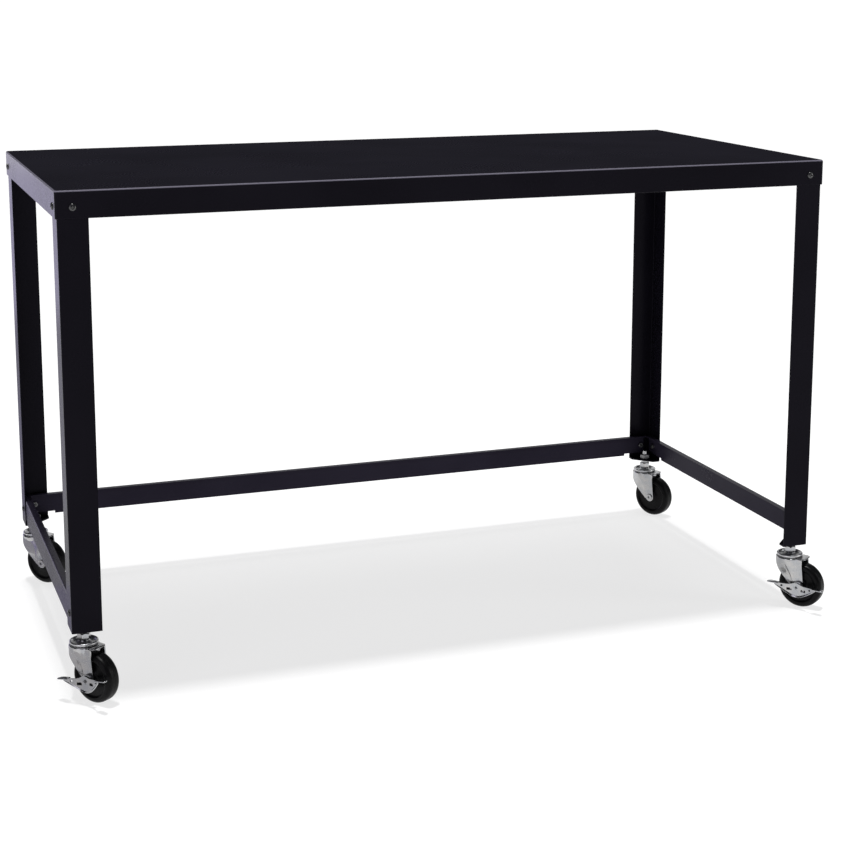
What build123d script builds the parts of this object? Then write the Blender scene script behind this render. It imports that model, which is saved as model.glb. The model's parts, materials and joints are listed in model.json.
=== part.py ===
from build123d import *
import os

# Mobile steel desk: a pressed top on four angle legs, three low rails and four swivel casters.
# Millimetres, +Z up, the floor at z = 0. The user sits at -Y, and -X is the user's left.

# Whole desk
TOP_WIDTH = 1219.0
TOP_DEPTH = 584.0
TOP_HEIGHT = 749.0
# The casters trail forward and to the right, so the desk's middle is off the part's origin,
# which is on the floor under the middle of everything.
DESK_X = -1.0
DESK_Y = 26.0

# Top pan
PAN_SHEET = 1.2
PAN_SKIRT = 40.0
PAN_BEND = 3.0
PAN_CORNER = 4.0
HEM_HEIGHT = 8.0
HEM_FOLD = 1.0

# Hat channel under the pan
HAT_LENGTH = 1080.0
HAT_WIDTH = 60.0
HAT_HEIGHT = 18.0
HAT_BRIM = 14.0
HAT_SHEET = 1.0

# Legs
LEG_WIDTH = 44.0
LEG_SHEET = 1.5
LEG_BEND = 2.5
LEG_FOOT = 106.0
LEG_INSET = 2 * PAN_SHEET
LEG_HEAD_GAP = 1.0

# Low rails
RAIL_HEIGHT = 38.0
RAIL_FLANGE = 12.0
RAIL_SHEET = 1.5
RAIL_BEND = 2.5
RAIL_TOP = 150.0
RAIL_NOTCH_HEIGHT = 4.0
RAIL_NOTCH_PAST_LEG = 12.0
RAIL_END_GAP = 1.5
BACK_RAIL_END = 15.0

# Caster plates
PLATE_THICKNESS = 2.5
PLATE_SHORT_EDGE = 12.0
PLATE_CORNER = 3.0
STEM_INSET = 19.5

# Screws and nuts
SCREW_RADIUS = 2.5
SCREW_HEAD_RADIUS = 5.25
SCREW_HEAD_HEIGHT = 2.4
SCREW_HEAD_DOME = 1.6
SCREW_RECESS_LENGTH = 5.6
SCREW_RECESS_WIDTH = 1.2
SCREW_RECESS_DEPTH = 1.4
SCREW_HOLE_RADIUS = 2.8
SCREW_PAST_NUT = 2.0
NUT_ACROSS_FLATS = 8.0
NUT_HEIGHT = 4.0
SCREW_FROM_CORNER = LEG_WIDTH / 2
TOP_SCREW_HEIGHT = TOP_HEIGHT - 24.0
RAIL_SCREW_HEIGHT = RAIL_TOP - RAIL_HEIGHT / 2

# Caster stem, race cap and balls
STEM_RADIUS = 5.0
STEM_TOP = 124.0
STEM_HOLE_RADIUS = 5.3
STEM_NUT_ACROSS_FLATS = 17.0
STEM_NUT_HEIGHT = 8.0
COLLAR_ACROSS_FLATS = 17.0
COLLAR_TOP = 100.0
COLLAR_BOTTOM = 91.0
JOURNAL_RADIUS = 6.0
STEM_FOOT_RADIUS = 9.0
STEM_FOOT_HEIGHT = 2.0
CAP_RADIUS = 21.5
CAP_BOTTOM = 84.6
CAP_TOP = 88.2
CAP_FLOOR = 86.4
CAP_HUB_RADIUS = 8.5
BALL_RADIUS = 1.75
BALL_CIRCLE = 17.6
BALL_COUNT = 24
BALL_HEIGHT = 84.3
RUNNING_GAP = 0.05

# Fork
TRAIL = 23.0
CROWN_RADIUS = 22.5
CROWN_TOP = 84.0
CROWN_SHEET = 2.5
CROWN_SKIRT = 6.0
CROWN_EDGE = 2.0
CHEEK_INNER = 13.5
CHEEK_SHEET = 2.0
CHEEK_FRONT = 16.0
CHEEK_BACK = 27.0
CHEEK_END_RADIUS = 8.5
FORK_BORE_GAP = 0.08

# Wheel, bushing and axle
WHEEL_RADIUS = 37.5
WHEEL_HALF_WIDTH = 12.0
WHEEL_SHOULDER = 8.0
HUB_HALF_WIDTH = 12.6
HUB_RADIUS = 13.5
WEB_HALF_WIDTH = 10.6
WEB_RADIUS = 26.0
BUSHING_RADIUS = 6.0
BUSHING_HALF_LENGTH = 13.3
AXLE_RADIUS = 4.0
AXLE_HEAD_RADIUS = 6.2
AXLE_HEAD_HEIGHT = 1.8
AXLE_RECESS_RADIUS = 2.6
AXLE_RECESS_DEPTH = 3.0
WASHER_RADIUS = 7.0
WASHER_THICKNESS = 1.0

# Brake lever on the front casters
CAM_RADIUS = 8.0
CAM_THICKNESS = 2.6
LEVER_SHEET = 1.5
LEVER_HALF_LENGTH = 32.0
LEVER_RISE = 7.5
LEVER_END_RISE = 5.0
LEVER_DROP = 18.0
LEVER_BOW_RADIUS = 90.0
LEVER_BOW_DEPTH = 12.0
LEVER_HUB_RADIUS = 9.0
LEVER_HUB_THICKNESS = 2.2
LEVER_HOLE_RADIUS = 1.6
LEVER_SLOT_LENGTH = 7.0
LEVER_SLOT_HEIGHT = 2.6
TAB_LENGTH = 18.0
TAB_WIDTH = 9.0
TAB_THICKNESS = 1.6
BRAKE_TRAVEL = 10.0

# Where each corner is, how far its caster has swivelled from +X towards the front, and how far
# its brake lever is tipped at rest: the left one stands at the locked end of its travel.
CORNERS = {
    "front_left": (-1, -1),
    "front_right": (1, -1),
    "rear_left": (-1, 1),
    "rear_right": (1, 1),
}
SWIVEL = {"front_left": 54.0, "front_right": 54.0, "rear_left": 48.0, "rear_right": 61.0}
BRAKE_TILT = {"front_left": BRAKE_TRAVEL, "front_right": 0.0}

SOLE = TOP_HEIGHT - PAN_SKIRT
LEG_X = -TOP_WIDTH / 2 + LEG_INSET
LEG_Y = -TOP_DEPTH / 2 + LEG_INSET
CHEEK_OUTER = CHEEK_INNER + CHEEK_SHEET
LEVER_INNER = CHEEK_OUTER + CAM_THICKNESS + RUNNING_GAP
LEVER_FACE = LEVER_INNER + LEVER_HUB_THICKNESS + RUNNING_GAP


def write(name, shape):
    """Write one node, moved from the desk's middle to the part's frame."""
    export_step(Pos(DESK_X, DESK_Y, 0) * shape, f"parts/{name}.step")


def group(shapes):
    """Several identical pieces as one node of separate solids."""
    return Compound([solid for shape in shapes for solid in shape.solids()])


def at_corner(shape, corner):
    """Carry a shape made at the front left corner to another corner."""
    side_x, side_y = CORNERS[corner]
    if side_x > 0:
        shape = shape.mirror(Plane.YZ)
    if side_y > 0:
        shape = shape.mirror(Plane.XZ)
    return shape


def rounded_block(width, depth, height, corner, top_edge):
    """A block standing on z = 0 with rounded uprights and a rounded top."""
    block = extrude(RectangleRounded(width, depth, corner), height)
    if top_edge:
        block = fillet(block.faces().sort_by(Axis.Z)[-1].edges(), top_edge)
    return block


def top_pan():
    """The pressed top: flat sheet, rounded bends, skirt and a hem folded up inside the skirt."""
    shell = rounded_block(TOP_WIDTH, TOP_DEPTH, PAN_SKIRT, PAN_CORNER, PAN_BEND)
    shell -= rounded_block(
        TOP_WIDTH - 2 * PAN_SHEET,
        TOP_DEPTH - 2 * PAN_SHEET,
        PAN_SKIRT - PAN_SHEET,
        PAN_CORNER - PAN_SHEET,
        PAN_BEND - PAN_SHEET,
    )
    hem = rounded_block(
        TOP_WIDTH - 2 * PAN_SHEET, TOP_DEPTH - 2 * PAN_SHEET, HEM_HEIGHT, PAN_CORNER - PAN_SHEET, 0
    )
    hem -= rounded_block(
        TOP_WIDTH - 4 * PAN_SHEET, TOP_DEPTH - 4 * PAN_SHEET, HEM_HEIGHT, PAN_CORNER - 2 * PAN_SHEET, 0
    )
    pan = shell + hem
    fold = pan.faces().sort_by(Axis.Z)[0].outer_wire().edges()
    pan = Pos(0, 0, SOLE) * fillet(fold, HEM_FOLD)
    for x, y, direction in top_screw_places():
        pan -= through_hole(x, y, TOP_SCREW_HEIGHT, direction, SCREW_HOLE_RADIUS)
    return pan


def top_stiffener():
    """A hat channel, brims up against the pan, running along the desk."""
    half = HAT_WIDTH / 2
    inner = half - HAT_BRIM
    points = [
        (-half, 0),
        (-inner, 0),
        (-inner, HAT_SHEET - HAT_HEIGHT),
        (inner, HAT_SHEET - HAT_HEIGHT),
        (inner, 0),
        (half, 0),
        (half, -HAT_SHEET),
        (inner + HAT_SHEET, -HAT_SHEET),
        (inner + HAT_SHEET, -HAT_HEIGHT),
        (-inner - HAT_SHEET, -HAT_HEIGHT),
        (-inner - HAT_SHEET, -HAT_SHEET),
        (-half, -HAT_SHEET),
    ]
    section = Plane.YZ * make_face(Polyline(points, close=True))
    channel = extrude(section, HAT_LENGTH / 2, both=True)
    return Pos(0, 0, TOP_HEIGHT - PAN_SHEET) * channel


def angle_bar(arm_x, arm_y, sheet, bend, length):
    """A bent angle: its outer corner stands on the Z axis and its arms run along +X and +Y."""
    section = Pos(arm_x / 2, arm_y / 2) * Rectangle(arm_x, arm_y)
    section -= Pos(sheet + arm_x / 2, sheet + arm_y / 2) * Rectangle(arm_x, arm_y)
    corners = section.vertices().sort_by_distance((0, 0, 0))
    section = fillet(corners[0], bend)
    corners = section.vertices().sort_by_distance((sheet, sheet, 0))
    section = fillet(corners[0], bend - sheet)
    return extrude(section, length)


def through_hole(x, y, z, direction, radius):
    """A cutter along X or Y, long enough for the sheets at one wall."""
    turn = Rot(0, 90, 0) if direction == "x" else Rot(90, 0, 0)
    return Pos(x, y, z) * turn * Cylinder(radius, 8 * LEG_SHEET)


def mirrored_places(places):
    """The (x, y, direction) places of the front left corner, repeated at all four corners."""
    return [
        (x * -side_x, y * -side_y, direction)
        for side_x, side_y in CORNERS.values()
        for x, y, direction in places
    ]


def top_screw_places():
    """One screw through the front or rear skirt and one through the side skirt of each corner."""
    return mirrored_places([
        (LEG_X + SCREW_FROM_CORNER, -TOP_DEPTH / 2, "y"),
        (-TOP_WIDTH / 2, LEG_Y + SCREW_FROM_CORNER, "x"),
    ])


def side_rail_screw_places():
    return mirrored_places([(LEG_X, LEG_Y + SCREW_FROM_CORNER, "x")])


def back_rail_screw_places():
    places = mirrored_places([(LEG_X + SCREW_FROM_CORNER, LEG_Y, "y")])
    return [place for place in places if place[1] > 0]


def leg():
    """The front left leg, with a hole for each screw that its arms may take."""
    length = TOP_HEIGHT - PAN_SHEET - LEG_HEAD_GAP - LEG_FOOT
    bar = Pos(LEG_X, LEG_Y, LEG_FOOT) * angle_bar(LEG_WIDTH, LEG_WIDTH, LEG_SHEET, LEG_BEND, length)
    across = LEG_X + SCREW_FROM_CORNER
    along = LEG_Y + SCREW_FROM_CORNER
    bar -= through_hole(across, LEG_Y, TOP_SCREW_HEIGHT, "y", SCREW_HOLE_RADIUS)
    bar -= through_hole(LEG_X, along, TOP_SCREW_HEIGHT, "x", SCREW_HOLE_RADIUS)
    return bar - through_hole(LEG_X, along, RAIL_SCREW_HEIGHT, "x", SCREW_HOLE_RADIUS)


def rear_leg():
    """A rear leg made at the front left: it also takes the back rail's screw."""
    across = LEG_X + SCREW_FROM_CORNER
    return leg() - through_hole(across, LEG_Y, RAIL_SCREW_HEIGHT, "y", SCREW_HOLE_RADIUS)


def rail(length, end_to_leg_edge):
    """A rail along +Y from the origin: web down from z = 0, flange towards +X, ends notched."""
    bar = Rot(-90, 0, 0) * angle_bar(RAIL_FLANGE, RAIL_HEIGHT, RAIL_SHEET, RAIL_BEND, length)
    notch = 2 * (end_to_leg_edge + RAIL_NOTCH_PAST_LEG)
    for y in (0, length):
        bar -= Pos(0, y, -RAIL_HEIGHT) * Box(8 * RAIL_SHEET, notch, 2 * RAIL_NOTCH_HEIGHT)
    return bar


def side_rail():
    """The left side rail, inside the side arms of the two left legs."""
    start = LEG_Y + LEG_SHEET + RAIL_END_GAP
    bar = rail(-2 * start, LEG_WIDTH - LEG_SHEET - RAIL_END_GAP)
    bar = Pos(LEG_X + LEG_SHEET, start, RAIL_TOP) * bar
    for x, y, direction in side_rail_screw_places():
        bar -= through_hole(x, y, RAIL_SCREW_HEIGHT, direction, SCREW_HOLE_RADIUS)
    return bar


def back_rail():
    """The back rail, inside the rear arms of the rear legs and between the side rails' flanges."""
    start = LEG_X + BACK_RAIL_END
    bar = Rot(0, 0, -90) * rail(-2 * start, LEG_WIDTH - BACK_RAIL_END)
    bar = Pos(start, -LEG_Y - LEG_SHEET, RAIL_TOP) * bar
    for x, y, direction in back_rail_screw_places():
        bar -= through_hole(x, y, RAIL_SCREW_HEIGHT, direction, SCREW_HOLE_RADIUS)
    return bar


def caster_plate():
    """The five-sided plate in the foot of the front left leg."""
    near = LEG_SHEET
    points = [
        (near + 2 * LEG_SHEET, near),
        (LEG_WIDTH, near),
        (LEG_WIDTH, near + PLATE_SHORT_EDGE),
        (near + PLATE_SHORT_EDGE, LEG_WIDTH),
        (near, LEG_WIDTH),
        (near, near + 2 * LEG_SHEET),
    ]
    plate = extrude(make_face(Polyline(points, close=True)), PLATE_THICKNESS)
    free_corners = plate.edges().filter_by(Axis.Z).sort_by(Axis((0, 0, 0), (1, 1, 0)))[-2:]
    plate = fillet(free_corners, PLATE_CORNER)
    plate -= Pos(STEM_INSET, STEM_INSET, 0) * Cylinder(STEM_HOLE_RADIUS, 4 * PLATE_THICKNESS)
    return Pos(LEG_X, LEG_Y, LEG_FOOT) * plate


def screw(length):
    """A domed cross-recess screw: its head stands above z = 0 and its shank hangs below."""
    head = extrude(Circle(SCREW_HEAD_RADIUS), SCREW_HEAD_HEIGHT)
    head = fillet(head.faces().sort_by(Axis.Z)[-1].edges(), SCREW_HEAD_DOME)
    recess = Box(SCREW_RECESS_LENGTH, SCREW_RECESS_WIDTH, 2 * SCREW_RECESS_DEPTH)
    recess += Box(SCREW_RECESS_WIDTH, SCREW_RECESS_LENGTH, 2 * SCREW_RECESS_DEPTH)
    head -= Pos(0, 0, SCREW_HEAD_HEIGHT) * recess
    return head + extrude(Circle(SCREW_RADIUS), -length)


def hex_nut(across_flats, height, bore_radius):
    """A hexagon nut standing on z = 0, its corners chamfered by a cone."""
    outer = across_flats / 2 / 0.8660254
    nut = extrude(RegularPolygon(outer, 6), height)
    crown = chamfer(extrude(Circle(outer), height).edges(), outer - across_flats / 2)
    return (nut & crown) - Cylinder(bore_radius, 4 * height)


def facing_out(x, y, z, direction, depth):
    """The place of a fastener whose +Z points out of the desk, depth inside the given face."""
    if direction == "x":
        return Pos(x, y, z) * Rot(0, 90 if x > 0 else -90, 0) * Pos(0, 0, -depth)
    return Pos(x, y, z) * Rot(-90 if y > 0 else 90, 0, 0) * Pos(0, 0, -depth)


def fasteners(places, height, grip):
    """The screws at some places, each clamping sheets grip thick, and their nuts."""
    one_screw = screw(grip + NUT_HEIGHT + SCREW_PAST_NUT)
    one_nut = hex_nut(NUT_ACROSS_FLATS, NUT_HEIGHT, SCREW_RADIUS)
    screws = [facing_out(x, y, height, direction, 0) * one_screw for x, y, direction in places]
    depth = grip + NUT_HEIGHT
    nuts = [facing_out(x, y, height, direction, depth) * one_nut for x, y, direction in places]
    return screws, nuts


def turned(points):
    """A solid turned about the Z axis from its half section."""
    return revolve(Plane.XZ * make_face(Polyline(points, close=True)), Axis.Z)


def caster_stem():
    """Threaded stem, hexagon collar, journal through the fork's crown and riveted foot."""
    foot_top = CROWN_TOP - CROWN_SHEET - FORK_BORE_GAP
    foot = foot_top - STEM_FOOT_HEIGHT
    stem = turned([
        (0, STEM_TOP),
        (STEM_RADIUS - 1, STEM_TOP),
        (STEM_RADIUS, STEM_TOP - 1),
        (STEM_RADIUS, COLLAR_TOP),
        (COLLAR_ACROSS_FLATS / 2 - 1, COLLAR_TOP),
        (COLLAR_ACROSS_FLATS / 2 - 1, COLLAR_BOTTOM),
        (JOURNAL_RADIUS + 1, CAP_TOP),
        (JOURNAL_RADIUS, CAP_TOP),
        (JOURNAL_RADIUS, foot_top),
        (STEM_FOOT_RADIUS, foot_top),
        (STEM_FOOT_RADIUS - 1, foot),
        (0, foot),
    ])
    collar = hex_nut(COLLAR_ACROSS_FLATS, COLLAR_TOP - COLLAR_BOTTOM, STEM_RADIUS)
    return stem + Pos(0, 0, COLLAR_BOTTOM) * collar


def ball_groove(clearance):
    return Pos(0, 0, BALL_HEIGHT) * Torus(BALL_CIRCLE, BALL_RADIUS + clearance)


def race_cap():
    """The dished cap over the balls: a hub under the collar, a floor and a raised rim."""
    rim = CAP_RADIUS
    cap = turned([
        (JOURNAL_RADIUS, CAP_BOTTOM),
        (rim, CAP_BOTTOM),
        (rim, CAP_TOP - 1.6),
        (rim - 1.4, CAP_TOP),
        (rim - 5.0, CAP_TOP),
        (rim - 7.0, CAP_FLOOR),
        (CAP_HUB_RADIUS + 1.5, CAP_FLOOR),
        (CAP_HUB_RADIUS, CAP_TOP),
        (JOURNAL_RADIUS, CAP_TOP),
    ])
    return cap - ball_groove(RUNNING_GAP)


def race_balls():
    ball = Pos(BALL_CIRCLE, 0, BALL_HEIGHT) * Sphere(BALL_RADIUS)
    return [Rot(0, 0, 360 * i / BALL_COUNT) * ball for i in range(BALL_COUNT)]


def fork():
    """The stamped fork: round crown with a short skirt, a bridge over the wheel and two cheeks."""
    crown = extrude(Circle(CROWN_RADIUS), -CROWN_SKIRT)
    crown = fillet(crown.faces().sort_by(Axis.Z)[-1].edges(), CROWN_EDGE)
    hollow = extrude(Circle(CROWN_RADIUS - CHEEK_SHEET), CROWN_SHEET - CROWN_SKIRT)
    crown -= Pos(0, 0, -CROWN_SHEET) * hollow
    width = 2 * CHEEK_OUTER
    bridge = Box(CHEEK_BACK, width, CROWN_SHEET, align=(Align.MIN, Align.CENTER, Align.MAX))
    body = Pos(0, 0, CROWN_TOP) * (crown + bridge)

    top = CROWN_TOP - CROWN_SHEET / 2
    end = CHEEK_END_RADIUS
    outline = make_face(Polyline([
        (-CHEEK_FRONT, top),
        (CHEEK_BACK, top),
        (TRAIL + end, WHEEL_RADIUS),
        (TRAIL, WHEEL_RADIUS - end),
        (TRAIL - end * 0.8, WHEEL_RADIUS - end * 0.6),
        (-CHEEK_FRONT, CROWN_TOP - 2 * CROWN_SKIRT),
    ], close=True))
    outline += Pos(TRAIL, WHEEL_RADIUS) * Circle(end)
    cheek = extrude(Plane.XZ * outline, CHEEK_SHEET)
    body += Pos(0, CHEEK_OUTER, 0) * cheek
    body += Pos(0, -CHEEK_INNER, 0) * cheek

    body -= Pos(0, 0, CROWN_TOP) * Cylinder(JOURNAL_RADIUS + FORK_BORE_GAP, 4 * CROWN_SHEET)
    body -= Pos(TRAIL, 0, WHEEL_RADIUS) * Rot(90, 0, 0) * Cylinder(AXLE_RADIUS, 4 * CHEEK_OUTER)
    return body - ball_groove(0)


def on_axle(shape):
    """Carry a shape whose axis is Z to the axle, its +Z end to the braked, outer side."""
    return Pos(TRAIL, 0, WHEEL_RADIUS) * Rot(90, 0, 0) * shape


def axle(head_face):
    """The hollow rivet: round head outside head_face, shank through both cheeks and the washer."""
    tail = -CHEEK_OUTER - WASHER_THICKNESS
    head = extrude(Circle(AXLE_HEAD_RADIUS), AXLE_HEAD_HEIGHT)
    head = fillet(head.faces().sort_by(Axis.Z)[-1].edges(), AXLE_HEAD_HEIGHT / 2)
    rivet = Pos(0, 0, head_face) * (head + extrude(Circle(AXLE_RADIUS), tail - head_face))
    rivet -= Pos(0, 0, head_face + AXLE_HEAD_HEIGHT) * Cylinder(AXLE_RECESS_RADIUS, 2 * AXLE_RECESS_DEPTH)
    upset = Pos(0, 0, tail) * Cone(AXLE_HEAD_RADIUS - 1, AXLE_HEAD_RADIUS, 1.2, align=(
        Align.CENTER, Align.CENTER, Align.MAX))
    return on_axle(rivet + upset)


def axle_washer():
    washer = extrude(Circle(WASHER_RADIUS) - Circle(AXLE_RADIUS), WASHER_THICKNESS)
    return on_axle(Pos(0, 0, -CHEEK_OUTER - WASHER_THICKNESS) * washer)


def wheel():
    """The solid wheel: hub boss, dished web, raised rim and a tread with round shoulders."""
    edge = WHEEL_RADIUS - WHEEL_SHOULDER
    flat = WHEEL_HALF_WIDTH - WHEEL_SHOULDER
    half = Polyline([
        (BUSHING_RADIUS, 0),
        (BUSHING_RADIUS, HUB_HALF_WIDTH),
        (HUB_RADIUS, HUB_HALF_WIDTH),
        (HUB_RADIUS + 1.5, WEB_HALF_WIDTH),
        (WEB_RADIUS, WEB_HALF_WIDTH),
        (WEB_RADIUS + 1.5, WHEEL_HALF_WIDTH),
        (edge, WHEEL_HALF_WIDTH),
    ])
    shoulder = CenterArc((edge, flat), WHEEL_SHOULDER, 0, 90)
    tread = Line((WHEEL_RADIUS, flat), (WHEEL_RADIUS, 0))
    floor = Line((WHEEL_RADIUS, 0), (BUSHING_RADIUS, 0))
    section = make_face(Curve() + [half, shoulder, tread, floor])
    half_wheel = revolve(Plane.XZ * section, Axis.Z)
    return on_axle(half_wheel + half_wheel.mirror(Plane.XY))


def wheel_bushing():
    ring = Circle(BUSHING_RADIUS) - Circle(AXLE_RADIUS + RUNNING_GAP)
    return on_axle(extrude(ring, BUSHING_HALF_LENGTH, both=True))


def brake_cam():
    """The ramped washer between the lever and the cheek."""
    ring = Circle(CAM_RADIUS) - Circle(AXLE_RADIUS + RUNNING_GAP)
    return on_axle(Pos(0, 0, CHEEK_OUTER + RUNNING_GAP) * extrude(ring, CAM_THICKNESS))


def brake_lever(tilt):
    """The leaf-shaped lever, bowed so that its ends stand out, with a foot tab folded at each end."""
    half = LEVER_HALF_LENGTH
    top = ThreePointArc((half, LEVER_END_RISE), (0, LEVER_RISE), (-half, LEVER_END_RISE))
    bottom = Spline(
        (-half, LEVER_END_RISE),
        (-half / 2, -LEVER_DROP * 0.55),
        (0, -LEVER_DROP),
        (half / 2, -LEVER_DROP * 0.55),
        (half, LEVER_END_RISE),
    )
    outline = make_face(Curve() + [top, bottom])
    bow = Circle(LEVER_BOW_RADIUS) - Circle(LEVER_BOW_RADIUS - LEVER_SHEET)
    bow = Pos(0, 0, LEVER_BOW_RADIUS) * Rot(90, 0, 0) * extrude(bow, 2 * LEVER_DROP, both=True)
    leaf = extrude(outline, LEVER_BOW_DEPTH) & bow
    for x in (-0.72 * half, 0.72 * half):
        leaf -= Pos(x, 0, 0) * Cylinder(LEVER_HOLE_RADIUS, 4 * LEVER_BOW_DEPTH)
    for x in (-0.38 * half, 0.38 * half):
        leaf -= Pos(x, -LEVER_DROP / 2, 0) * Box(
            LEVER_SLOT_LENGTH, LEVER_SLOT_HEIGHT, 4 * LEVER_BOW_DEPTH
        )
    leaf += extrude(Circle(LEVER_HUB_RADIUS), LEVER_HUB_THICKNESS) & extrude(outline, half)
    tab = Box(TAB_LENGTH, TAB_THICKNESS, TAB_WIDTH, align=(Align.MIN, Align.MAX, Align.MIN))
    tab = Pos(half + 16 - TAB_LENGTH, LEVER_END_RISE, LEVER_BOW_DEPTH / 3) * tab
    leaf += tab
    leaf += tab.mirror(Plane.YZ)
    leaf -= Cylinder(AXLE_RADIUS + RUNNING_GAP, 8 * LEVER_INNER)
    return on_axle(Rot(0, 0, tilt) * Pos(0, 0, LEVER_INNER) * leaf)


def caster_place(corner):
    """Where a caster's own frame stands: stem on its Z axis, wheel trailing along its +X."""
    side_x, side_y = CORNERS[corner]
    x = -side_x * (LEG_X + STEM_INSET)
    y = -side_y * (LEG_Y + STEM_INSET)
    return Pos(x, y, 0) * Rot(0, 0, -SWIVEL[corner])


def main():
    os.makedirs("parts", exist_ok=True)
    write("top_pan", top_pan())
    write("top_stiffener", top_stiffener())
    write("left_side_rail", side_rail())
    write("right_side_rail", side_rail().mirror(Plane.YZ))
    write("back_rail", back_rail())
    for corner, (side_x, side_y) in CORNERS.items():
        write(f"{corner}_leg", at_corner(rear_leg() if side_y > 0 else leg(), corner))
        write(f"{corner}_caster_plate", at_corner(caster_plate(), corner))

    top_screws, top_nuts = fasteners(
        top_screw_places(), TOP_SCREW_HEIGHT, LEG_INSET + LEG_SHEET
    )
    write("top_screws", group(top_screws))
    write("top_nuts", group(top_nuts))
    rail_places = side_rail_screw_places() + back_rail_screw_places()
    rail_screws, rail_nuts = fasteners(rail_places, RAIL_SCREW_HEIGHT, LEG_SHEET + RAIL_SHEET)
    write("rail_screws", group(rail_screws))
    write("rail_nuts", group(rail_nuts))

    places = [caster_place(corner) for corner in CORNERS]
    stem_nut = Pos(0, 0, LEG_FOOT + PLATE_THICKNESS) * hex_nut(
        STEM_NUT_ACROSS_FLATS, STEM_NUT_HEIGHT, STEM_RADIUS
    )
    write("caster_stems", group(place * caster_stem() for place in places))
    write("stem_nuts", group(place * stem_nut for place in places))
    write("race_caps", group(place * race_cap() for place in places))

    for corner, place in zip(CORNERS, places):
        braked = corner in BRAKE_TILT
        head_face = LEVER_FACE if braked else CHEEK_OUTER
        write(f"{corner}_fork", place * fork())
        write(f"{corner}_race_balls", group(place * ball for ball in race_balls()))
        write(f"{corner}_axle", place * axle(head_face))
        write(f"{corner}_axle_washer", place * axle_washer())
        write(f"{corner}_wheel", place * wheel())
        write(f"{corner}_wheel_bushing", place * wheel_bushing())
        if braked:
            write(f"{corner}_brake_cam", place * brake_cam())
            write(f"{corner}_brake_lever", place * brake_lever(BRAKE_TILT[corner]))


main()
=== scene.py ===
import json
import math

import bmesh
import bpy
from mathutils import Matrix, Vector


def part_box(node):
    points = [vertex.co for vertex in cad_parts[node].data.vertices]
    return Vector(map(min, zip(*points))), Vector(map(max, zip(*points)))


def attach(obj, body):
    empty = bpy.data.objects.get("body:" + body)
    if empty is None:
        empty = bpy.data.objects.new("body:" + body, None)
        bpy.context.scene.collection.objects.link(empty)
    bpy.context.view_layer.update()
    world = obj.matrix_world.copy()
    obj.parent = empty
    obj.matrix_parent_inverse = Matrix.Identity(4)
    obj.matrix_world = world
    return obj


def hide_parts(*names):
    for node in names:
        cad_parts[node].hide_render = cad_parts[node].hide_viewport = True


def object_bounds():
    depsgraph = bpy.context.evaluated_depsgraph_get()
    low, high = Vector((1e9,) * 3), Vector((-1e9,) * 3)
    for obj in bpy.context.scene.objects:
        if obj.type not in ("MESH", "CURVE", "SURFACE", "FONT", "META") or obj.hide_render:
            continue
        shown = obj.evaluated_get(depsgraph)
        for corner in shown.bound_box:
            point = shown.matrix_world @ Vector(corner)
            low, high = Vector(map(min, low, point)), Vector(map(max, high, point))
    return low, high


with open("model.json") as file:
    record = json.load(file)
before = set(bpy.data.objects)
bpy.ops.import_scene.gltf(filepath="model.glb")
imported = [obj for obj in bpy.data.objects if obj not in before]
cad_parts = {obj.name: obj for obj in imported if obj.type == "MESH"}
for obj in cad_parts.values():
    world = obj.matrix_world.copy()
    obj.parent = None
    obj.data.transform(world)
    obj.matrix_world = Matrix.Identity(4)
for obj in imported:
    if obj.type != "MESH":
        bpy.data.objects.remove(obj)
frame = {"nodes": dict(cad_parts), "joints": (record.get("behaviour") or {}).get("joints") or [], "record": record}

# A black steel desk on four casters. Places in the scene are in metres; the shapes of pieces are drawn in
# millimetres, which mesh_from turns into metres.

MM = 0.001
CORNERS = ("front_left", "front_right", "rear_left", "rear_right")
BRAKED = ("front_left", "front_right")

cad_low, cad_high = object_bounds()
scene = bpy.context.scene
nodes = frame["nodes"]
joints = {joint["name"]: joint for joint in frame["joints"]}
pan_low, pan_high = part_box("top_pan")
desk_x = (pan_low.x + pan_high.x) / 2
desk_y = (pan_low.y + pan_high.y) / 2

# ---------------------------------------------------------------- camera

# The place is measured from the middle of the desk on the floor; the angles are in degrees.
CAMERA_PLACE = (-0.9343, -2.7283, 1.0452)
CAMERA_YAW = 19.56
CAMERA_PITCH = 10.21
CAMERA_LENS = 74.6
CAMERA_SHIFT = -0.16

camera_data = bpy.data.cameras.new("camera")
camera_data.sensor_width = 36.0
camera_data.lens = CAMERA_LENS
camera_data.shift_y = CAMERA_SHIFT
camera = bpy.data.objects.new("camera", camera_data)
camera.location = Vector(CAMERA_PLACE) + Vector((desk_x, desk_y, 0))
camera.rotation_euler = (math.radians(90 - CAMERA_PITCH), 0, math.radians(-CAMERA_YAW))
scene.collection.objects.link(camera)
scene.camera = camera


# ---------------------------------------------------------------- material helpers


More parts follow.
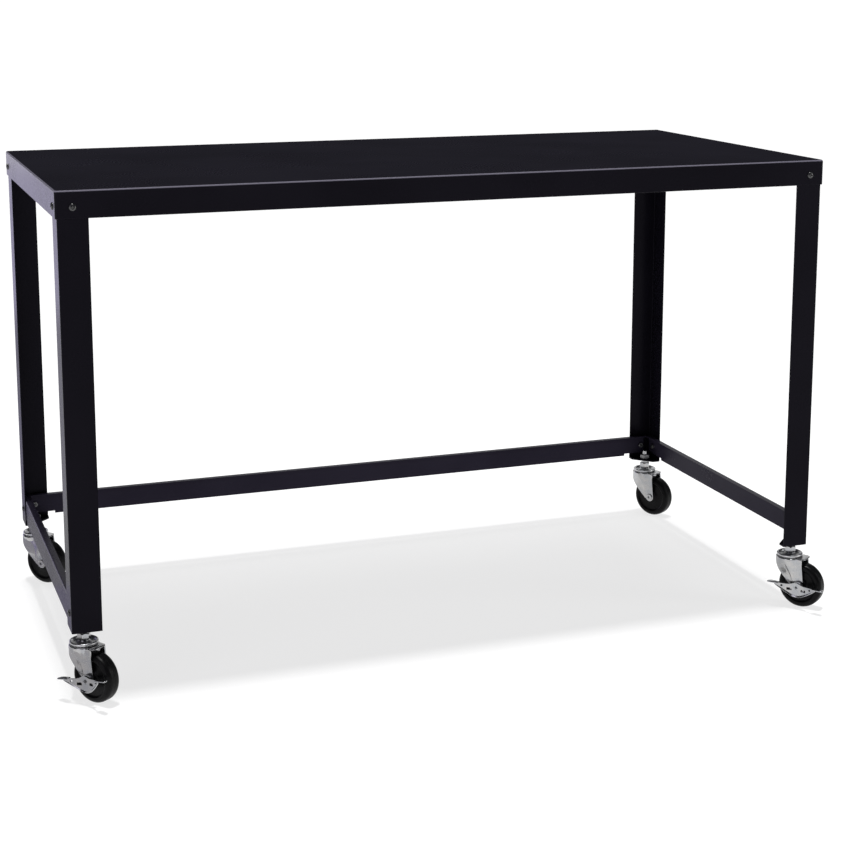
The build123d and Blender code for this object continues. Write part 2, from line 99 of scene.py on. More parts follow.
class Nodes:
    """A material's node tree with short calls."""

    def __init__(self, name):
        self.material = bpy.data.materials.new(name)
        self.material.use_nodes = True
        self.tree = self.material.node_tree
        self.shader = self.tree.nodes["Principled BSDF"]
        self.place = self.add("ShaderNodeTexCoord").outputs["Object"]

    def add(self, kind):
        return self.tree.nodes.new(kind)

    def link(self, source, target):
        self.tree.links.new(source, target)

    def scaled(self, scale):
        mapping = self.add("ShaderNodeMapping")
        mapping.inputs["Scale"].default_value = scale
        self.link(self.place, mapping.inputs["Vector"])
        return mapping.outputs["Vector"]

    def noise(self, scale, detail=3.0, rough=0.55, stretch=None):
        node = self.add("ShaderNodeTexNoise")
        node.inputs["Scale"].default_value = scale
        node.inputs["Detail"].default_value = detail
        node.inputs["Roughness"].default_value = rough
        self.link(self.scaled(stretch) if stretch else self.place, node.inputs["Vector"])
        return node.outputs["Fac"]

    def span(self, value, low, high, to_low, to_high):
        node = self.add("ShaderNodeMapRange")
        node.interpolation_type = "SMOOTHSTEP"
        for name, number in zip(
            ("From Min", "From Max", "To Min", "To Max"), (low, high, to_low, to_high)
        ):
            node.inputs[name].default_value = number
        self.link(value, node.inputs["Value"])
        return node.outputs["Result"]

    def math(self, operation, first, second):
        node = self.add("ShaderNodeMath")
        node.operation = operation
        for socket, value in zip(node.inputs, (first, second)):
            if isinstance(value, (int, float)):
                socket.default_value = value
            else:
                self.link(value, socket)
        return node.outputs["Value"]

    def mix(self, factor, first, second):
        node = self.add("ShaderNodeMix")
        node.data_type = "RGBA"
        for name, value in (("Factor", factor), ("A", first), ("B", second)):
            sockets = [s for s in node.inputs if s.name == name and s.enabled]
            if isinstance(value, tuple):
                sockets[0].default_value = (*value, 1.0)
            elif isinstance(value, (int, float)):
                sockets[0].default_value = value
            else:
                self.link(value, sockets[0])
        return [s for s in node.outputs if s.enabled][0]

    def bump(self, height, strength, distance, below=None):
        node = self.add("ShaderNodeBump")
        node.inputs["Strength"].default_value = strength
        node.inputs["Distance"].default_value = distance
        self.link(height, node.inputs["Height"])
        if below is not None:
            self.link(below, node.inputs["Normal"])
        return node.outputs["Normal"]

    def facing_up(self):
        geometry = self.add("ShaderNodeNewGeometry")
        split = self.add("ShaderNodeSeparateXYZ")
        self.link(geometry.outputs["Normal"], split.inputs["Vector"])
        return split.outputs["Z"]

    def set(self, **values):
        for name, value in values.items():
            socket = self.shader.inputs[name.replace("_", " ")]
            if isinstance(value, tuple) and len(value) == 3:
                socket.default_value = (*value, 1.0)
            elif isinstance(value, (int, float, tuple)):
                socket.default_value = value
            else:
                self.link(value, socket)
        return self.material


def enamel(name, low, high, gloss):
    """Black enamel: fine orange peel, faint smears, a little dust and a painted highlight, a paler colour, on the
    bends that face partly upward.
    """
    n = Nodes(name)
    tint = n.span(n.noise(5.0), 0.3, 0.7, 0.0, 1.0)
    paint = n.mix(tint, low, high)
    specks = n.span(n.noise(1500.0, 1.0), 0.70, 0.78, 0.0, 1.0)
    patches = n.span(n.noise(4.0, 4.0), 0.45, 0.7, 0.0, 0.4)
    upward = n.span(n.facing_up(), 0.6, 0.95, 0.0, 1.0)
    dust = n.math("MULTIPLY", n.math("MULTIPLY", specks, patches), upward)
    # Painted highlight: bends that face partly upward get a paler colour in place of the light they catch.
    bend_highlight = n.math("MULTIPLY", n.span(n.facing_up(), 0.12, 0.45, 0.0, 1.0),
                  n.span(n.facing_up(), 0.86, 0.985, 1.0, 0.0))
    color = n.mix(dust, n.mix(bend_highlight, paint, (0.150, 0.142, 0.180)), (0.07, 0.07, 0.08))
    smears = n.span(n.noise(9.0, 5.0, 0.6), 0.45, 0.75, 0.0, 0.03)
    grain = n.span(n.noise(260.0, 2.0), 0.3, 0.7, 0.24, 0.27)
    peel = n.bump(n.noise(420.0, 2.0, 0.5), 0.012, 0.0004)
    waves = n.bump(n.noise(6.0, 1.0, 0.3), 0.02, 0.004, peel)
    return n.set(
        Base_Color=color, Roughness=n.math("ADD", grain, smears), Normal=waves,
        Specular_IOR_Level=gloss, Specular_Tint=(0.93, 0.90, 1.0),
    )


def zinc(name, low, high, rough):
    """Bright zinc plating: faint cloudy colour, rolled streaks and fine scratches."""
    n = Nodes(name)
    cloud = n.span(n.noise(60.0, 4.0), 0.3, 0.7, 0.0, 1.0)
    streak = n.noise(500.0, 3.0, 0.6, (1.0, 1.0, 0.08))
    scratch = n.span(n.noise(900.0, 2.0, 0.7, (0.1, 1.0, 1.0)), 0.55, 0.75, 0.0, 0.12)
    base = n.span(streak, 0.3, 0.7, rough - 0.05, rough + 0.06)
    normal = n.bump(streak, 0.06, 0.0002)
    normal = n.bump(n.noise(90.0, 1.0, 0.4), 0.05, 0.0005, normal)
    return n.set(
        Base_Color=n.mix(cloud, low, high), Metallic=1.0,
        Roughness=n.math("ADD", base, scratch), Normal=normal,
    )


def black_oxide():
    n = Nodes("black_oxide")
    worn = n.span(n.noise(900.0, 3.0), 0.55, 0.75, 0.0, 0.35)
    rough = n.span(n.noise(700.0, 2.0), 0.3, 0.7, 0.20, 0.30)
    return n.set(
        Base_Color=n.mix(worn, (0.008, 0.008, 0.010), (0.03, 0.03, 0.034)), Roughness=rough,
        Normal=n.bump(n.noise(1200.0, 2.0), 0.1, 0.0002), Specular_IOR_Level=0.85,
    )


def hard_rubber():
    """Moulded black wheel: satin sides, a scuffed and slightly dusty tread."""
    n = Nodes("hard_rubber")
    split = n.add("ShaderNodeSeparateXYZ")
    n.link(n.place, split.inputs["Vector"])
    square = n.math("ADD", n.math("POWER", split.outputs["X"], 2.0),
                    n.math("POWER", split.outputs["Y"], 2.0))
    radius = n.math("SQRT", square, 0.0)
    tread = n.span(radius, 0.0355, 0.0372, 0.0, 1.0)
    scuff = n.span(n.noise(420.0, 6.0, 0.7), 0.48, 0.75, 0.0, 0.7)
    worn = n.math("MULTIPLY", tread, scuff)
    color = n.mix(worn, (0.0036, 0.0036, 0.0040), (0.012, 0.0117, 0.0113))
    rough = n.math("ADD", n.span(n.noise(150.0, 3.0), 0.3, 0.7, 0.26, 0.38),
                   n.math("MULTIPLY", worn, 0.35))
    fine = n.bump(n.noise(1600.0, 2.0), 0.12, 0.0002)
    normal = n.bump(n.math("MULTIPLY", scuff, tread), 0.3, 0.0002, fine)
    return n.set(Base_Color=color, Roughness=rough, Normal=normal, Specular_IOR_Level=0.10)


def plain_plastic():
    n = Nodes("bushing_plastic")
    cloud = n.span(n.noise(120.0, 3.0), 0.3, 0.7, 0.0, 1.0)
    return n.set(
        Base_Color=n.mix(cloud, (0.66, 0.64, 0.58), (0.74, 0.72, 0.67)),
        Roughness=n.span(n.noise(500.0), 0.3, 0.7, 0.38, 0.52),
        Normal=n.bump(n.noise(900.0), 0.15, 0.0002),
    )


FINISH = {
    "black_paint": enamel("black_enamel", (0.0050, 0.0043, 0.0074), (0.0072, 0.0063, 0.0104), 0.05),
    "bright_zinc": zinc("bright_zinc", (0.38, 0.39, 0.41), (0.48, 0.47, 0.46), 0.19),
    "bearing_steel": zinc("bearing_steel", (0.50, 0.50, 0.52), (0.58, 0.58, 0.59), 0.12),
    "black_fastener": black_oxide(),
    "hard_rubber": hard_rubber(),
    "bushing_plastic": plain_plastic(),
}

# The rails take a paler copy of the black enamel: painted light, standing in for the pale lavender reflection that
# the rails show.
LIGHTENED_RAIL_FINISH = enamel("rail_enamel_lightened", (0.0230, 0.0200, 0.0330), (0.0290, 0.0255, 0.0410), 0.030)
# The race caps take a paler, rougher copy of the zinc: painted light, lifting the dark reflection of the desk's
# underside in their dish.
LIGHTENED_CAP_FINISH = zinc("cap_zinc_lightened", (0.55, 0.56, 0.58), (0.68, 0.68, 0.67), 0.34)
# The nuts take a darker, rougher copy of the zinc: painted shade, for nuts that sit in the shade inside the legs
# and under the rails and top.
SHADED_NUT_FINISH = zinc("zinc_shaded", (0.16, 0.16, 0.17), (0.24, 0.24, 0.24), 0.36)

for part in frame["record"]["subparts"]:
    node = part["node"]
    finish = FINISH[part["material_slot"]]
    if node.endswith("_rail"):
        finish = LIGHTENED_RAIL_FINISH
    elif node in ("rail_nuts", "top_nuts", "stem_nuts"):
        finish = SHADED_NUT_FINISH
    mesh = nodes[node].data
    mesh.materials.clear()
    mesh.materials.append(finish)

# ---------------------------------------------------------------- mesh helpers


WELD_DISTANCE = 1e-6
SHARP_ANGLE = 40
EDGE_ANGLE = 50


def add_object(name, mesh):
    obj = bpy.data.objects.new(name, mesh)
    scene.collection.objects.link(obj)
    return obj


def finish_mesh(obj, body, slot, *replaced, finish=None):
    """Give obj its material, let it ride on a CAD body and stand in for CAD nodes."""
    obj.data.materials.append(finish or FINISH[slot])
    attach(obj, body)
    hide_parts(*replaced)


def clamp(value):
    return min(max(value, 0.0), 1.0)


def eased(value):
    return value * value * (3 - 2 * value)


def smooth(mesh):
    mesh.shade_smooth()
    mesh.set_sharp_from_angle(angle=math.radians(SHARP_ANGLE))


def mesh_from(name, points, faces):
    """A mesh from points in millimetres, welded and with its normals outward."""
    mesh = bpy.data.meshes.new(name)
    mesh.from_pydata([Vector(p) * MM for p in points], [], faces)
    bm = bmesh.new()
    bm.from_mesh(mesh)
    bmesh.ops.remove_doubles(bm, verts=bm.verts, dist=WELD_DISTANCE)
    bmesh.ops.recalc_face_normals(bm, faces=bm.faces)
    bm.to_mesh(mesh)
    bm.free()
    return mesh


def rounded_corners(points, radii, steps=5):
    """A closed 2-D outline with each corner replaced by a curve of about its radius."""
    outline = []
    for i, (point, radius) in enumerate(zip(points, radii)):
        corner = Vector(point)
        if not radius:
            outline.append(corner)
            continue
        before = Vector(points[i - 1]) - corner
        after = Vector(points[(i + 1) % len(points)]) - corner
        cut = min(radius, before.length * 0.49, after.length * 0.49)
        start = corner + before.normalized() * cut
        end = corner + after.normalized() * cut
        for k in range(steps + 1):
            t = k / steps
            outline.append(start * (1 - t) ** 2 + corner * 2 * t * (1 - t) + end * t * t)
    return outline


def lathe(name, outline, segments=96):
    """A ring or solid turned about Z from a closed outline of (radius, height)."""
    points, faces = [], []
    count = len(outline)
    for k in range(segments):
        a = 2 * math.pi * k / segments
        points += [(r * math.cos(a), r * math.sin(a), z) for r, z in outline]
    for k in range(segments):
        here, there = k * count, (k + 1) % segments * count
        for i in range(count):
            j = (i + 1) % count
            faces.append((here + i, there + i, there + j, here + j))
    mesh = mesh_from(name, points, faces)
    smooth(mesh)
    return mesh


def grid_faces(rows, columns):
    """The four-sided faces between rows of points, all rows of the same length."""
    return [
        (r * columns + c, r * columns + c + 1, (r + 1) * columns + c + 1, (r + 1) * columns + c)
        for r in range(rows - 1)
        for c in range(columns - 1)
    ]


def box_mesh(name, low, high):
    points = [(x, y, z) for x in (low[0], high[0]) for y in (low[1], high[1])
              for z in (low[2], high[2])]
    faces = [(0, 1, 3, 2), (4, 6, 7, 5), (0, 4, 5, 1), (2, 3, 7, 6), (0, 2, 6, 4), (1, 5, 7, 3)]
    return mesh_from(name, points, faces)


def apply_modifiers(obj):
    bpy.context.view_layer.update()
    graph = bpy.context.evaluated_depsgraph_get()
    mesh = bpy.data.meshes.new_from_object(obj.evaluated_get(graph))
    obj.modifiers.clear()
    obj.data = mesh


def solid_sheet(obj, thickness, edge):
    """Thicken an open sheet to the inside of its faces and soften its edges."""
    sheet = obj.modifiers.new("sheet", "SOLIDIFY")
    sheet.thickness = thickness * MM
    sheet.offset = -1
    soft = obj.modifiers.new("edges", "BEVEL")
    soft.width = edge * MM
    soft.segments = 2
    soft.limit_method = "ANGLE"
    soft.angle_limit = math.radians(EDGE_ANGLE)
    apply_modifiers(obj)
    smooth(obj.data)


def cut(obj, *cutters):
    """Cut every cutter out of obj and remove the cutters."""
    for cutter in cutters:
        hole = obj.modifiers.new("cut", "BOOLEAN")
        hole.operation = "DIFFERENCE"
        hole.solver = "EXACT"
        hole.object = cutter
    apply_modifiers(obj)
    for cutter in cutters:
        bpy.data.objects.remove(cutter)


def joined(name, *objects):
    """One mesh from several objects, each carried by its own matrix."""
    bm = bmesh.new()
    for obj in objects:
        mesh = obj.data.copy()
        mesh.transform(obj.matrix_world)
        bm.from_mesh(mesh)
        bpy.data.objects.remove(obj)
        bpy.data.meshes.remove(mesh)
    mesh = bpy.data.meshes.new(name)
    bm.to_mesh(mesh)
    bm.free()
    smooth(mesh)
    return add_object(name, mesh)


# ---------------------------------------------------------------- caster pieces

# The caster's own frame: stem on Z, wheel trailing along +X, the braked side at -Y.
CROWN_RADIUS = 22.5
CROWN_TOP = 84.0
CROWN_BACK = 27.0
CROWN_EDGE = 2.2
CROWN_FLANK_START = 8.0
CROWN_FLANK_BLEND = 1.2
LIP_EDGE = 0.9
STEM_HOLE = 6.4
CHEEK_OUTER = 15.5
CHEEK_SHEET = 2.0
CHEEK_CONE = 30.0
CHEEK_POINTS = 72
CHEEK_ROWS = 40
CREASE_START = -8.0
CREASE_TOP = 80.0
CREASE_HEIGHT = 0.75
END_RADIUS = 8.5
TRAIL = 23.0
AXLE_HEIGHT = 37.5


def caster_matrix(corner):
    """From the caster's own frame to the desk's."""
    stem = Vector(joints[f"{corner}_swivel"]["pos_m"])
    spin = joints[f"{corner}_wheel_spin"]
    trail = Vector(spin["pos_m"]) - stem
    trail.z = 0
    forward = trail.normalized()
    side = -Vector(spin["axis"]).normalized()
    turn = Matrix((forward, side, Vector((0, 0, 1)))).transposed().to_4x4()
    return Matrix.Translation((stem.x, stem.y, 0)) @ turn


def axle_matrix(corner):
    """Z runs along the axle to the braked side, and Y is up."""
    stem = Vector(joints[f"{corner}_swivel"]["pos_m"])
    hub = Vector(joints[f"{corner}_wheel_spin"]["pos_m"])
    trail = Vector((hub.x - stem.x, hub.y - stem.y, 0)).length
    return (caster_matrix(corner) @ Matrix.Translation((trail, 0, hub.z))
            @ Matrix.Rotation(math.radians(90), 4, "X"))


def crown_half_width(x):
    """Half the crown's width at x: a circle that runs smoothly into the straight flanks over the wheel."""
    circle = math.sqrt(max(CROWN_RADIUS ** 2 - x * x, 0.0))
    if x < CROWN_FLANK_START:
        return circle
    soft = CROWN_FLANK_BLEND
    gap = circle - CHEEK_OUTER
    return CHEEK_OUTER + soft * math.log1p(math.exp(min(gap / soft, 30)))


def even_spacing(points, count):
    """The same open line as count points at equal steps."""
    points = [Vector(p) for p in points]
    lengths = [0.0]
    for here, there in zip(points, points[1:]):
        lengths.append(lengths[-1] + (there - here).length)
    line, i = [], 0
    for k in range(count):
        goal = lengths[-1] * k / (count - 1)
        while i < len(points) - 2 and lengths[i + 1] < goal:
            i += 1
        t = (goal - lengths[i]) / (lengths[i + 1] - lengths[i])
        line.append(tuple(points[i].lerp(points[i + 1], t)))
    return line


def cheek_outline():
    """The lower edge of a cheek as (x, z), from the crown's front to the trailing side of the axle."""
    lead = [(-22.5, 79.5), (-21.8, 77.8), (-19.9, 75.2), (-17.6, 72.2), (-15.3, 68.6), (-13.2, 64.6),
            (-10.9, 60.4), (-8.2, 56.4), (-5.0, 52.4), (-1.4, 48.4), (2.4, 44.6), (6.2, 40.9),
            (10.0, 37.2), (13.4, 34.0)]
    end = []
    for k in range(19):
        a = math.radians(205 + 155 * k / 18)
        end.append((TRAIL + END_RADIUS * math.cos(a), AXLE_HEIGHT + END_RADIUS * math.sin(a)))
    return even_spacing(lead + end, CHEEK_POINTS)


def cheek_crease(x, z):
    """How far the pressed V of a cheek stands out: wide under the crown, closing above the axle."""
    down = clamp((CREASE_TOP - z) / 30.0)
    middle = 5.0 + 6.5 * down
    reach = 6.2 - 5.2 * down
    inside = clamp((reach - abs(x - middle)) / 1.6 + 0.5)
    fade = clamp((z - 46.0) / 6.0) * clamp((CREASE_TOP + 1.0 - z) / 4.0)
    return CREASE_HEIGHT * eased(inside) * fade


def cheek_grid(lower, tops):
    """Rows of points from the crown's rim down to the cheek's lower edge."""
    rim_z = CROWN_TOP - CROWN_EDGE
    rows = []
    for step in range(CHEEK_ROWS + 1):
        t = step / CHEEK_ROWS
        row = []
        for (x, z_end), (top_x, top_y) in zip(lower, tops):
            z = rim_z + (z_end - rim_z) * t
            narrowed = eased(clamp((rim_z - z) / CHEEK_CONE))
            lean = clamp((rim_z - z) / (rim_z - AXLE_HEIGHT))
            here_x = top_x + (x - top_x) * lean
            here_y = top_y + (min(CHEEK_OUTER, top_y) - top_y) * narrowed
            if top_x > CREASE_START:
                here_y += cheek_crease(here_x, z)
            row.append((here_x, here_y, z))
        rows.append(row)
    return rows


def crown_grid(tops):
    """Rings from the crown's rim and the lip over the wheel, round the edge and in to the stem's hole."""
    lip = [(26.6, 14.9), (26.9, 14.2), (28.4, 13.7), (30.2, 12.7), (31.5, 10.8), (32.2, 8.0),
           (32.5, 4.0), (32.6, 0.0)]
    rim = tops + lip
    inward = [-Vector(point).normalized() for point in rim]
    edges = [CROWN_EDGE] * len(tops) + [LIP_EDGE] * len(lip)
    rings = []
    for k in range(6):
        a = math.radians(90 * k / 5)
        rings.append([
            (x + n.x * edge * (1 - math.cos(a)), max(y + n.y * edge * (1 - math.cos(a)), 0.0),
             CROWN_TOP - edge * (1 - math.sin(a)))
            for (x, y), n, edge in zip(rim, inward, edges)
        ])
    outer = rings[-1]
    for k in range(1, 6):
        t = k / 5
        ring = []
        for x, y, z in outer:
            length = math.hypot(x, y) or 1
            ring.append((x + (x / length * STEM_HOLE - x) * t, y + (y / length * STEM_HOLE - y) * t, z))
        rings.append(ring)
    return rings


def fork_mesh():
    """The stamped fork: a round crown whose edge turns down into two cheeks and back over the wheel."""
    lower = cheek_outline()
    low_x, high_x = lower[0][0], max(x for x, _ in lower)
    share = (CROWN_BACK + CROWN_RADIUS) / (high_x - low_x)
    tops = []
    for x, _ in lower:
        top_x = -CROWN_RADIUS + (x - low_x) * share
        tops.append((top_x, crown_half_width(top_x)))
    points, faces = [], []
    for grid in (cheek_grid(lower, tops), crown_grid(tops)):
        start = len(points)
        for row in grid:
            points += row
        faces += [tuple(start + i for i in face) for face in grid_faces(len(grid), len(grid[0]))]
    count = len(points)
    points += [(x, -y, z) for x, y, z in points]
    faces += [tuple(count + i for i in reversed(face)) for face in faces]
    mesh = mesh_from("fork", points, faces)
    if max(mesh.polygons, key=lambda face: face.center.z).normal.z < 0:
        mesh.flip_normals()
    return mesh


def race_cap_mesh():
    """The pressed cap over the balls: a hub, a shallow dish and a rolled rim."""
    middle, height, roll = 19.2, 87.1, 2.3
    rolled = [
        (middle + roll * math.sin(math.radians(a)), height - roll * math.cos(math.radians(a)))
        for a in range(0, 250, 18)
    ]
    outline = [(6.1, 84.8)] + rolled + [(16.0, 86.5), (14.4, 86.1), (11.0, 86.2), (9.8, 86.9),
                                        (9.2, 88.0), (8.6, 88.3), (6.1, 88.3)]
    return lathe("race_cap", outline)


def wheel_mesh():
    """The moulded wheel: hub face, dished side, round shoulder and a mould line on the tread."""
    half = [
        (6.0, 12.6), (9.0, 12.6), (13.0, 12.2), (14.4, 10.4), (17.0, 9.6), (25.0, 9.2),
        (27.2, 9.8), (28.6, 11.9), (30.4, 12.0),
    ]
    soft = [0, 0.8, 1.2, 1.4, 2.0, 1.2, 1.2, 0.8, 0]
    side = rounded_corners(half + [(0, 12.0)], soft + [0])[:-1]
    shoulder = [
        (30.4 + 7.0 * math.sin(math.radians(a)), 4.6 + 7.4 * math.cos(math.radians(a)))
        for a in range(10, 100, 10)
    ]
    crown = [(37.5, 2.6), (37.5, 0.55), (37.28, 0.3)]
    upper = [tuple(p) for p in side] + shoulder + crown
    return lathe("wheel", upper + [(r, -z) for r, z in reversed(upper)], 128)


# The lever's own frame: Z along the axle to the outside, Y up.
LEVER_INNER = 18.15
LEVER_FACE = 22.6
LEVER_HALF = 35.0
LEVER_SHEET = 1.5
LEVER_COLUMNS, LEVER_ROWS = 65, 15
LEVER_HOLE_X, LEVER_HOLE_Y, LEVER_HOLE_RADIUS = 24.5, 0.6, 1.8
SLOT_X, SLOT_HALF, SLOT_LOW, SLOT_HIGH = 12.2, 4.4, -6.2, -1.9
SQUARE_HALF = 3.3
CUTTER_LOW, CUTTER_HIGH = -40, 60


def leaf_point(u, v):
    """A point of the bowed leaf, u from -1 to 1 along it and v from its V-shaped lower edge to its top."""
    x = u * LEVER_HALF
    top = 3.4 + 4.2 * math.exp(-((x + 1.5) / 8.0) ** 2) + 1.8 * abs(u) ** 1.5
    rise = (math.sqrt(u * u + 0.1225) - 0.35) / 0.7095
    low = 2.6 - 19.8 * (1 - rise)
    bow = LEVER_FACE + 9.5 * abs(u) ** 2.2
    rolled = max(0.0, 1 - v * (LEVER_ROWS - 1) / 2.6)
    return (x, low + (top - low) * v, bow + 1.3 * rolled * rolled * (1 - abs(u) ** 6))


def lever_leaf():
    points = [leaf_point(-1 + 2 * c / (LEVER_COLUMNS - 1), r / (LEVER_ROWS - 1))
              for r in range(LEVER_ROWS) for c in range(LEVER_COLUMNS)]
    mesh = mesh_from("leaf", points, grid_faces(LEVER_ROWS, LEVER_COLUMNS))
    if sum(face.normal.z for face in mesh.polygons) < 0:
        mesh.flip_normals()
    leaf = add_object("leaf", mesh)
    solid_sheet(leaf, LEVER_SHEET, 0.25)
    cutters = []
    for side in (-1, 1):
        hole = add_object("hole", lathe("hole", [
            (0.001, CUTTER_LOW), (LEVER_HOLE_RADIUS, CUTTER_LOW), (LEVER_HOLE_RADIUS, CUTTER_HIGH),
            (0.001, CUTTER_HIGH)], 24))
        hole.location = (side * LEVER_HOLE_X * MM, LEVER_HOLE_Y * MM, 0)
        cutters.append(hole)
    for side in (-1, 1):
        x = side * SLOT_X
        cutters.append(add_object("slot", box_mesh(
            "slot", (x - SLOT_HALF, SLOT_LOW, CUTTER_LOW), (x + SLOT_HALF, SLOT_HIGH, CUTTER_HIGH))))
    square = add_object("square", box_mesh(
        "square", (-SQUARE_HALF, -SQUARE_HALF, CUTTER_LOW), (SQUARE_HALF, SQUARE_HALF, CUTTER_HIGH)))
    square.rotation_euler = (0, 0, math.radians(45))
    cutters.append(square)
    cut(leaf, *cutters)
    return leaf


def lever_hub():
    inner, high = LEVER_INNER, LEVER_INNER + 2.1
    ring = rounded_corners([(6.4, inner), (9.0, inner), (9.0, high), (6.4, high)], [0.1, 0.3, 0.3, 0.1], 2)
    return add_object("hub", lathe("hub", [tuple(p) for p in ring], 48))


def lever_web_and_foot(x):
    """What carries the leaf on the hub, behind the slot at x."""
    inner = LEVER_INNER
    web = add_object("web", box_mesh(
        "web", (x - 3.8, -7.5, inner + 0.3), (x + 3.8, -6.3, LEVER_FACE + 0.4)))
    foot = add_object("foot", box_mesh(
        "foot", (min(x * 0.5, x), -7.5, inner + 0.1), (max(x * 0.5, x), -0.5, inner + 1.6)))
    return [web, foot]


def lever_tab(side):
    """The flat plate that a foot presses, at the end of the leaf."""
    inner = LEVER_INNER
    plate = rounded_corners(
        [(30.0, inner + 4.0), (45.0, inner + 4.0), (49.0, inner + 8.0), (49.0, inner + 14.2),
         (30.0, inner + 13.4)], [0.5, 2.0, 3.0, 3.2, 0.5])
    low = [(side * x, 3.5, z) for x, z in plate]
    high = [(x, 5.0, z) for x, _, z in low]
    count = len(low)
    faces = [tuple(range(count)), tuple(range(2 * count - 1, count - 1, -1))]
    faces += [(i, (i + 1) % count, count + (i + 1) % count, count + i) for i in range(count)]
    tab = add_object("tab", mesh_from("tab", low + high, faces))
    soft = tab.modifiers.new("soft", "BEVEL")
    soft.width = 0.6 * MM
    soft.segments = 3
    apply_modifiers(tab)
    return tab


def lever_object():
    pieces = [lever_leaf(), lever_hub()]
    for side in (-1, 1):
        pieces += lever_web_and_foot(side * SLOT_X)
    pieces += [lever_tab(side) for side in (-1, 1)]
    bpy.context.view_layer.update()
    return joined("brake_lever", *pieces)


fork_data = fork_mesh()
wheel_data = wheel_mesh()
lever_template = lever_object()
lever_data = lever_template.data
bpy.data.objects.remove(lever_template)

for corner in CORNERS:
    fork = add_object(f"{corner}_stamped_fork", fork_data.copy())
    solid_sheet(fork, CHEEK_SHEET, 0.3)
    fork.matrix_world = caster_matrix(corner)
    finish_mesh(fork, f"{corner}_caster", "bright_zinc", f"{corner}_fork")

    wheel = add_object(f"{corner}_moulded_wheel", wheel_data.copy())
    wheel.matrix_world = axle_matrix(corner)
    finish_mesh(wheel, f"{corner}_wheel", "hard_rubber", f"{corner}_wheel")

    if corner in BRAKED:
        lever = add_object(f"{corner}_lever", lever_data.copy())
        tipped = -min(joints[f"{corner}_brake"]["range_deg"])
        lever.matrix_world = axle_matrix(corner) @ Matrix.Rotation(math.radians(tipped), 4, "Z")
        finish_mesh(lever, f"{corner}_brake", "bright_zinc", f"{corner}_brake_lever")

caps = []
for corner in CORNERS:
    cap = add_object("cap", race_cap_mesh())
    cap.matrix_world = caster_matrix(corner)
    caps.append(cap)
bpy.context.view_layer.update()
finish_mesh(joined("pressed_race_caps", *caps), "frame", "bright_zinc", "race_caps",
            finish=LIGHTENED_CAP_FINISH)

# ---------------------------------------------------------------- screws

HEAD_HEIGHT = 2.4


def island_boxes(mesh):
    """The bounds of every separate solid in a mesh."""
    bm = bmesh.new()
    bm.from_mesh(mesh)
    bmesh.ops.remove_doubles(bm, verts=bm.verts, dist=WELD_DISTANCE)
    left, boxes = set(bm.verts), []
    while left:
        island, edge = set(), [left.pop()]
        while edge:
            vert = edge.pop()
            island.add(vert)
            for link in vert.link_edges:
                other = link.other_vert(vert)
                if other in left:
                    left.remove(other)
                    edge.append(other)
        boxes.append(tuple(
            Vector([pick(v.co[i] for v in island) for i in range(3)]) for pick in (min, max)))
    bm.free()
    return boxes


def cross_screw(radius, length):
    """A domed cross-recess screw whose head stands above z = 0."""
    dome = [(radius, 0), (radius, 0.7), (radius * 0.93, 1.3), (radius * 0.78, 1.9),
            (radius * 0.58, HEAD_HEIGHT), (1.9, HEAD_HEIGHT + 0.1), (1.5, HEAD_HEIGHT - 0.5),
            (0.01, HEAD_HEIGHT - 0.9)]
    shank = [(0.01, -length), (1.7, -length), (2.0, -length + 0.4), (2.0, 0)]
    screw = add_object("screw", lathe("screw", shank + dome, 40))
    arms = []
    for turn in (0, 90):
        arm = add_object("arm", box_mesh("arm", (-2.9, -0.75, HEAD_HEIGHT - 1.6), (2.9, 0.75, 9)))
        arm.rotation_euler = (0, 0, math.radians(turn))
        arms.append(arm)
    cut(screw, *arms)
    return screw


for group, name in (("top_screws", "top_cross_screws"), ("rail_screws", "rail_cross_screws")):
    screws = []
    for low, high in island_boxes(nodes[group].data):
        size, middle = high - low, (high + low) / 2
        axis = 0 if size.x > size.y else 1
        outward = Vector((0, 0, 0))
        outward[axis] = 1 if middle[axis] > (desk_x, desk_y)[axis] else -1
        seat = middle + outward * (size[axis] / 2 - HEAD_HEIGHT * MM)
        screw = cross_screw(size.z / 2 / MM, size[axis] / MM - HEAD_HEIGHT)
        facing = outward.to_track_quat("Z", "Y").to_matrix().to_4x4()
        screw.matrix_world = Matrix.Translation(seat) @ facing
        screws.append(screw)
    bpy.context.view_layer.update()
    finish_mesh(joined(name, *screws), "frame", "black_fastener", group)

# ---------------------------------------------------------------- floor, backdrop and cards

STAGE_RADIUS = 40.0
CARD_HEIGHT = 4.0


def mesh_of(name, create, **shape):
    """A mesh made by one of bmesh's primitives, in metres."""
    bm = bmesh.new()
    create(bm, **shape)
    mesh = bpy.data.meshes.new(name)
    bm.to_mesh(mesh)
    bm.free()
    return mesh


def stage_material(name, glow, albedo, tint=(1, 1, 1)):
    material = bpy.data.materials.new(name)
    material.use_nodes = True
    shader = material.node_tree.nodes["Principled BSDF"]
    shader.inputs["Base Color"].default_value = (albedo, albedo, albedo, 1)
    shader.inputs["Roughness"].default_value = 1.0
    shader.inputs["Specular IOR Level"].default_value = 0.0
    shader.inputs["Emission Color"].default_value = (*tint, 1)
    shader.inputs["Emission Strength"].default_value = glow
    return material


floor = add_object("floor", mesh_of(
    "floor", bmesh.ops.create_circle, cap_ends=True, radius=STAGE_RADIUS, segments=96))
floor.data.materials.append(stage_material("floor_white", 0.75, 0.30))

backdrop = add_object("backdrop", mesh_of(
    "backdrop", bmesh.ops.create_uvsphere, u_segments=48, v_segments=24, radius=STAGE_RADIUS))
backdrop.data.materials.append(stage_material("backdrop_white", 1.1, 0.0))
backdrop.visible_diffuse = False
backdrop.visible_glossy = False
backdrop.visible_transmission = False
backdrop.visible_shadow = False


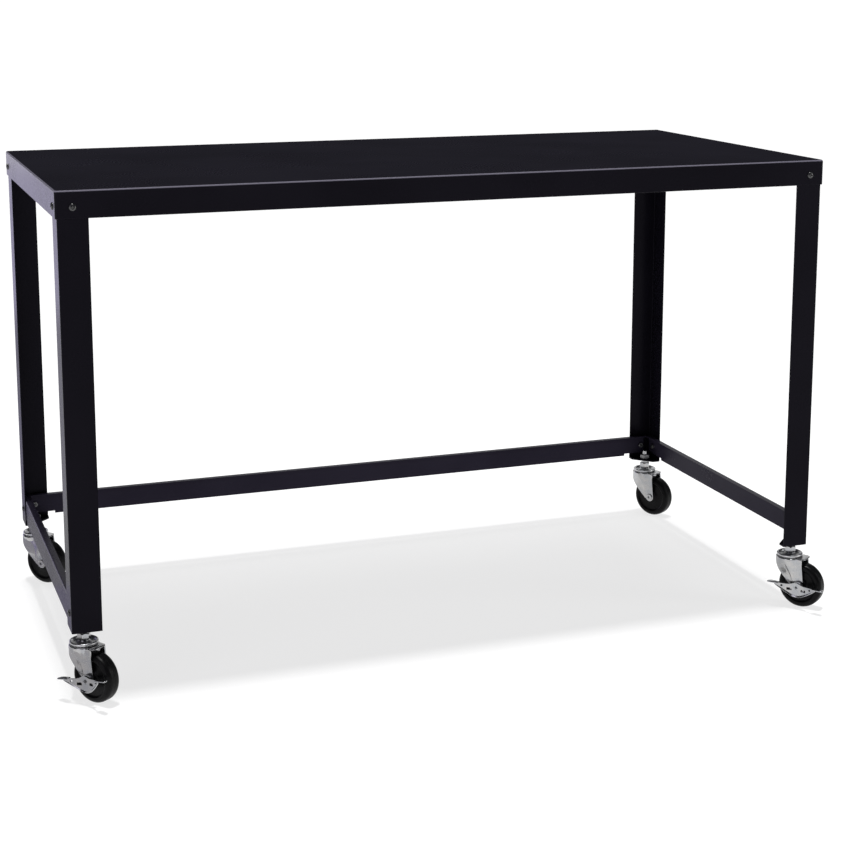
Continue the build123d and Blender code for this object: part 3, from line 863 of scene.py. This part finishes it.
def glowing_reflection_card(name, widths, tint):
    """A glowing card just above the floor that only reflections see, along the desk's left end: it paints a
    reflection.

    widths lists its width at each distance behind the desk's middle, in millimetres.
    """
    points = [(cad_low[0] / MM - out, desk_y / MM + back, CARD_HEIGHT)
              for back, width in widths for out in (0, width)]
    card = add_object(name, mesh_from(name, points, grid_faces(len(widths), 2)))
    card.data.materials.append(stage_material(name, 1.0, 0.0, tint))
    card.visible_camera = False
    card.visible_diffuse = False
    card.visible_shadow = False


# The left flank mirrors the floor at a grazing angle, so glowing violet cards lie there, seen only in reflections:
# they paint a violet reflection into the flank.
# The cards beside the casters are grey, so that the zinc stays neutral.
VIOLET, GREY, PALE = (0.37, 0.34, 0.52), (0.45, 0.44, 0.49), (0.64, 0.63, 0.65)
glowing_reflection_card("card_front", [(-420, 260), (-100, 260)], PALE)
glowing_reflection_card("card_near", [(-100, 70), (210, 105)], VIOLET)
glowing_reflection_card("card_middle", [(210, 105), (640, 130)], GREY)
glowing_reflection_card("card_far", [(640, 130), (7000, 1300)], VIOLET)

# ---------------------------------------------------------------- light

# Name, place and target measured from the middle of the desk on the floor, size, watts and colour.
AREA_LIGHTS = (
    ("left_box", (-2.6, -1.8, 1.3), (0, 0, 0.3), (1.4, 1.8), 11, (0.93, 0.90, 1.0)),
    ("left_card", (-1.55, 2.4, 0.36), (-0.3, 0, 0.36), (1.9, 0.72), 3.6, (0.72, 0.66, 1.0)),
    ("low_card", (0.6, 1.1, 0.44), (0.4, 0, 0.2), (2.4, 0.5), 3.2, (1, 1, 1)),
    ("right_box", (2.8, -1.6, 1.2), (0, 0, 0.3), (0.8, 1.8), 16, (1, 1, 1)),
    ("top_box", (0.2, 0.6, 3.2), (0, 0, 0.3), (2.4, 1.2), 30, (1, 1, 1)),
)


def area_light(name, place, target, size, power, color):
    data = bpy.data.lights.new(name, "AREA")
    data.shape = "RECTANGLE"
    data.size, data.size_y = size
    data.energy = power
    data.color = color
    light = bpy.data.objects.new(name, data)
    light.location = Vector(place) + Vector((desk_x, desk_y, 0))
    aim = Vector(target) - Vector(place)
    light.rotation_euler = aim.to_track_quat("-Z", "Y").to_euler()
    light.visible_camera = False
    scene.collection.objects.link(light)


sun_data = bpy.data.lights.new("overhead", "SUN")
sun_data.energy = 3.0
sun_data.angle = math.radians(6.0)
sun = bpy.data.objects.new("overhead", sun_data)
scene.collection.objects.link(sun)
for light in AREA_LIGHTS:
    area_light(*light)

world = bpy.data.worlds.new("studio")
world.use_nodes = True
scene.world = world
background = world.node_tree.nodes["Background"]
background.inputs["Color"].default_value = (0.85, 0.87, 1.0, 1)
background.inputs["Strength"].default_value = 0.035

scene.view_settings.view_transform = "Standard"
scene.cycles.use_denoising = True
